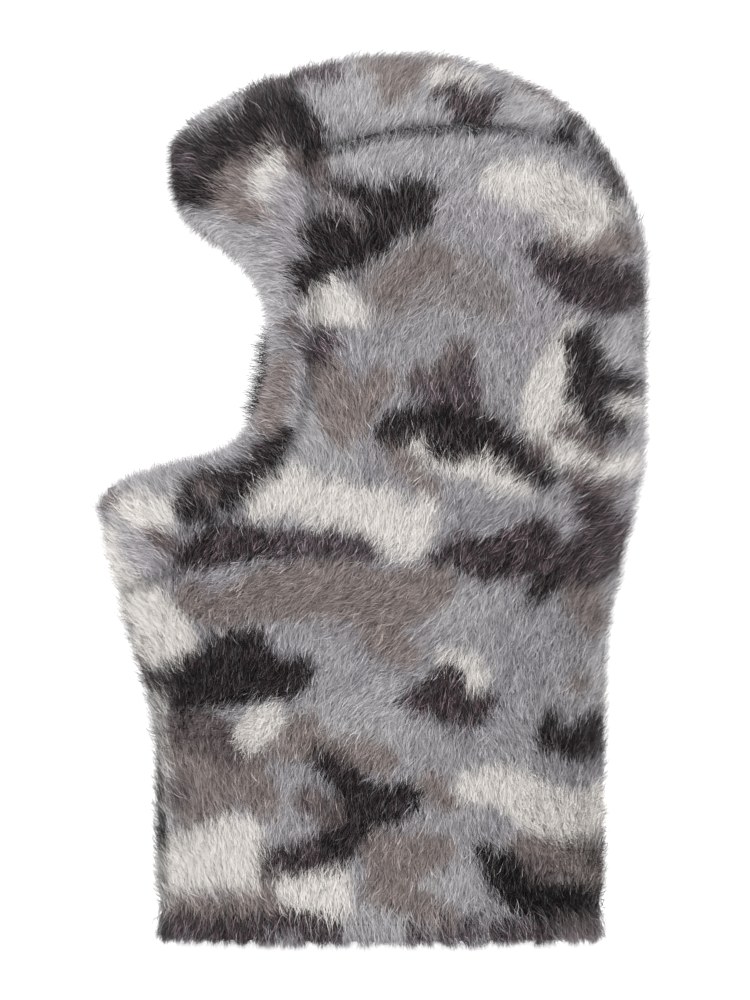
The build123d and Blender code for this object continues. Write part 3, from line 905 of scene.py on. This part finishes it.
def rim_pile(name, turn, seed):
    """Pile on the turned edge round the face opening, which fans out over it."""
    rng = np.random.default_rng(SEED + seed)
    angle, level = scatter(rng, turn, (215.0, POLE - 2.0), DENSITY * RIM_DENSITY)
    points = form_point(angle, level)
    gap = signed_gap(LINES["opening"], points)
    keep = np.abs(gap + EDGE_SETBACK) < 0.8
    angle, level, points = angle[keep], level[keep], points[keep]
    normals = form_normal(angle, level)
    # Outward is over the edge into the opening, which is the way the signed gap grows.
    slope = np.zeros((len(points), 3))
    for axis in (1, 2):
        ahead = points.copy()
        ahead[:, axis] += 0.5
        slope[:, axis] = signed_gap(LINES["opening"], ahead) - gap[keep]
    outward = unit(slope - (slope * normals).sum(1, keepdims=True) * normals)
    depth = rng.uniform(2.0, FUR_DEPTH, len(points))
    roots = points - normals * depth[:, None]
    lean = 3.5 * (1 - depth / FUR_DEPTH) - 1.5 + rng.normal(0, 1.6, len(points))
    along = turned(outward, normals, rng.normal(0, 0.3, len(points)))
    # The far cheek's hair is longer, so that it shows past the near edge.
    cheek = between(points[:, 2], (258, 275), (305, 325))
    reach = rng.uniform(6.5, 13.0, len(points)) + 10.0 * cheek * (turn == RIGHT)
    return grow(name, (angle, level), roots, normals, along, lean, rng, reach)


# ---- Pieces
def cloth_piece(name, panel, turn, levels, depth, thickness, step, material,
                setback=0.0, sag=0.0):
    """A sheet of cloth cut along its panel's sewn lines, and its area. Sag is in mm."""
    places, faces = cut_sheet(panel, turn, levels, step, setback)
    points = form_point(*places.T, depth)
    if sag:
        inward = sag * (0.5 + 0.5 * noise(points, 26.0, 61)) + 0.25 * sag * noise(points, 9.0, 62)
        points = points - form_normal(*places.T) * np.clip(inward, 0, None)[:, None]
    points[:, 2] = np.maximum(points[:, 2], 0.0)
    piece = write_mesh(name, points, faces)
    add_thickness(piece, thickness)
    piece.data.materials.append(material)
    return piece, cloth_area(places, faces, depth)


def paint_sheet(piece, panel):
    """The print's colour on a fur fabric's backing, with painted shade: darker than the pile above
    it, and darker still in the folds.
    """
    points = np.empty(len(piece.data.vertices) * 3)
    piece.data.vertices.foreach_get("co", points)
    points = points.reshape(-1, 3) * MM
    normals = unit(points - np.array([0.0, HEAD_Y, 0.0]))
    colour = print_colour(points, normals, np.zeros(len(points)))
    colour *= 1 - seam_shade(gaps(points), fold_run(points), panel)[:, None]
    # Painted shade: the backing is darker than the pile, as shade at the pile's depth.
    paint(piece.data, colour * BACKING_PAINTED_SHADE)


SIDE_ZONES = (HEM_TOP, 90, 170, 250, 330, POLE - 2)
# Name, panel, turn, levels of each stretch of pile, CAD node.
FUR_PANELS = [
    ("side_left", "side", LEFT, SIDE_ZONES, "side_panel_left"),
    ("side_right", "side", RIGHT, SIDE_ZONES, "side_panel_right"),
    ("crown", "crown", ROUND, (230, 450, POLE - 1), "crown_panel"),
    ("front_neck", "front_neck", FRONT, (HEM_TOP, 210), "front_neck_panel"),
    ("band_left", "band", LEFT, (165, POLE - 1), "face_band_left"),
    ("band_right", "band", RIGHT, (165, POLE - 1), "face_band_right"),
    ("hem", "hem", ROUND, (HEM_FOLD_Z, HEM_TOP), "hem_band"),
]


def fur_panels():
    """Backing and pile of every fur panel."""
    for number, (name, panel, turn, levels, node) in enumerate(FUR_PANELS):
        backing, area = cloth_piece(
            f"backing_{name}", panel, turn, (levels[0], min(levels[-1] + 2, POLE)), SKIN_DEPTH,
            SKIN_THICKNESS, 4.0, FUR, setback=EDGE_SETBACK + 1.0)
        paint_sheet(backing, panel)
        for part, ends in enumerate(zip(levels, levels[1:])):
            panel_pile(f"pile_{name}_{part + 1}", panel, turn, ends,
                                   PILE_SEED + 10 * number + part)
        if panel == "band":
            rim_pile(f"pile_rim_{name}", turn, RIM_SEED + number)
        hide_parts(node)


LININGS = [
    ("lining_left", "side", LEFT, (20, POLE)),
    ("lining_right", "side", RIGHT, (20, POLE)),
    ("lining_crown", "crown", ROUND, (230, POLE)),
    ("lining_front_neck", "front_neck", FRONT, (20, 215)),
]


def inside():
    """Lining and facings."""
    for name, panel, turn, levels in LININGS:
        piece, area = cloth_piece(
            f"{name}_cloth", panel, turn, levels, LINING_DEPTH, LINING_THICKNESS, 3.0, LINING,
            sag=1.2)
        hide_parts(name)
    for name, panel, cut, turn, levels in (
        ("face_facing", "band", "facing", FRONT, (165, POLE)),
        ("hem_facing", "hem_facing", "hem", ROUND, (4.0, 22.0)),
    ):
        piece, area = cloth_piece(
            f"{name}_cloth", panel, turn, levels, LINING_DEPTH, FACING_THICKNESS, 3.0, FACING,
            sag=0.5, setback=EDGE_SETBACK - 1.0)
        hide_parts(name)


def seams():
    """Materials of the sewn edges, whose CAD shapes stay."""
    for name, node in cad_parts.items():
        if "seam" in name or "stitching" in name:
            node.data.materials.clear()
            node.data.materials.append(THREAD)


def care_label():
    """Tape with a blank face, curved as it hangs from its sewn top edge."""
    low, high = box_mm(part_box("care_label"))
    columns, rows = 16, 24
    thickness, deepest_bow = 0.5, 0.5
    points = []
    for row in range(rows + 1):
        down = row / rows
        for column in range(columns + 1):
            across = column / columns
            x = low[0] + across * (high[0] - low[0])
            bow = deepest_bow * np.sin(pi * across) * down
            y = high[1] - thickness / 2 - bow
            points.append([x, y, high[2] - down * (high[2] - low[2])])
    faces = []
    for row, column in itertools.product(range(rows), range(columns)):
        first = row * (columns + 1) + column
        faces.append([first, first + columns + 1, first + columns + 2, first + 1])
    piece = write_mesh("care_label_tape", np.array(points), faces, "label")
    add_thickness(piece, thickness)
    piece.data.materials.append(LABEL)
    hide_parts("care_label")


# ---- Studio
ROOM_LIGHT = 1.26
FLOOR_Z = LOWEST_FIBRE - 0.3
# Name, place and size in metres, power in watts.
LAMPS = [("key", (1.4, -1.2, 1.8), 1.4, 9.0), ("back", (-0.6, 1.6, 1.6), 1.2, 5.0)]
LAMP_AIM = (0.0, 0.0, 0.22)
CAMERA_PLACE = (5.0, 0.0013, 0.229)
VIEW_HEIGHT = 0.517  # metres that the picture spans at the origin
SENSOR_HEIGHT = 24.0  # mm


def aim(piece, way):
    """Turn an object so that its -Z points along a way, with its top up."""
    piece.rotation_mode = "QUATERNION"
    piece.rotation_quaternion = Vector(way).to_track_quat("-Z", "Y")


def studio():
    """Pale floor, white surroundings, soft lights and the camera."""
    scene = bpy.context.scene
    scene.view_settings.view_transform = "Standard"
    world = bpy.data.worlds.new("white_room")
    world.use_nodes = True
    white = (1, 1, 1, 1)
    set_inputs(world.node_tree.nodes["Background"], {"Color": white, "Strength": ROOM_LIGHT})
    scene.world = world

    reach = 4.0  # half the floor's width in metres
    floor_mesh = bpy.data.meshes.new("floor")
    corners = [(-reach, -reach, 0), (reach, -reach, 0), (reach, reach, 0), (-reach, reach, 0)]
    floor_mesh.from_pydata(corners, [], [(0, 1, 2, 3)])
    floor = add_object("floor", floor_mesh)
    floor.location.z = FLOOR_Z / MM
    material, _, shader = new_material("floor", 0.9)
    set_inputs(shader, {"Base Color": (0.35, 0.35, 0.35, 1), "Emission Color": white,
                        "Emission Strength": 1.0})
    floor_mesh.materials.append(material)

    for name, place, size, energy in LAMPS:
        light = bpy.data.lights.new(name, "AREA")
        light.size = size
        light.energy = energy
        lamp = add_object(name, light)
        lamp.location = place
        aim(lamp, np.array(LAMP_AIM) - np.array(place))

    camera_data = bpy.data.cameras.new("camera")
    camera = add_object("camera", camera_data)
    camera_data.sensor_fit = "VERTICAL"
    camera_data.sensor_height = SENSOR_HEIGHT
    camera_data.lens = SENSOR_HEIGHT * CAMERA_PLACE[0] / VIEW_HEIGHT
    camera_data.clip_end = 30.0
    camera.location = CAMERA_PLACE
    aim(camera, (-1.0, 0.0, 0.0))
    scene.camera = camera


fur_panels()
inside()
seams()
care_label()
studio()
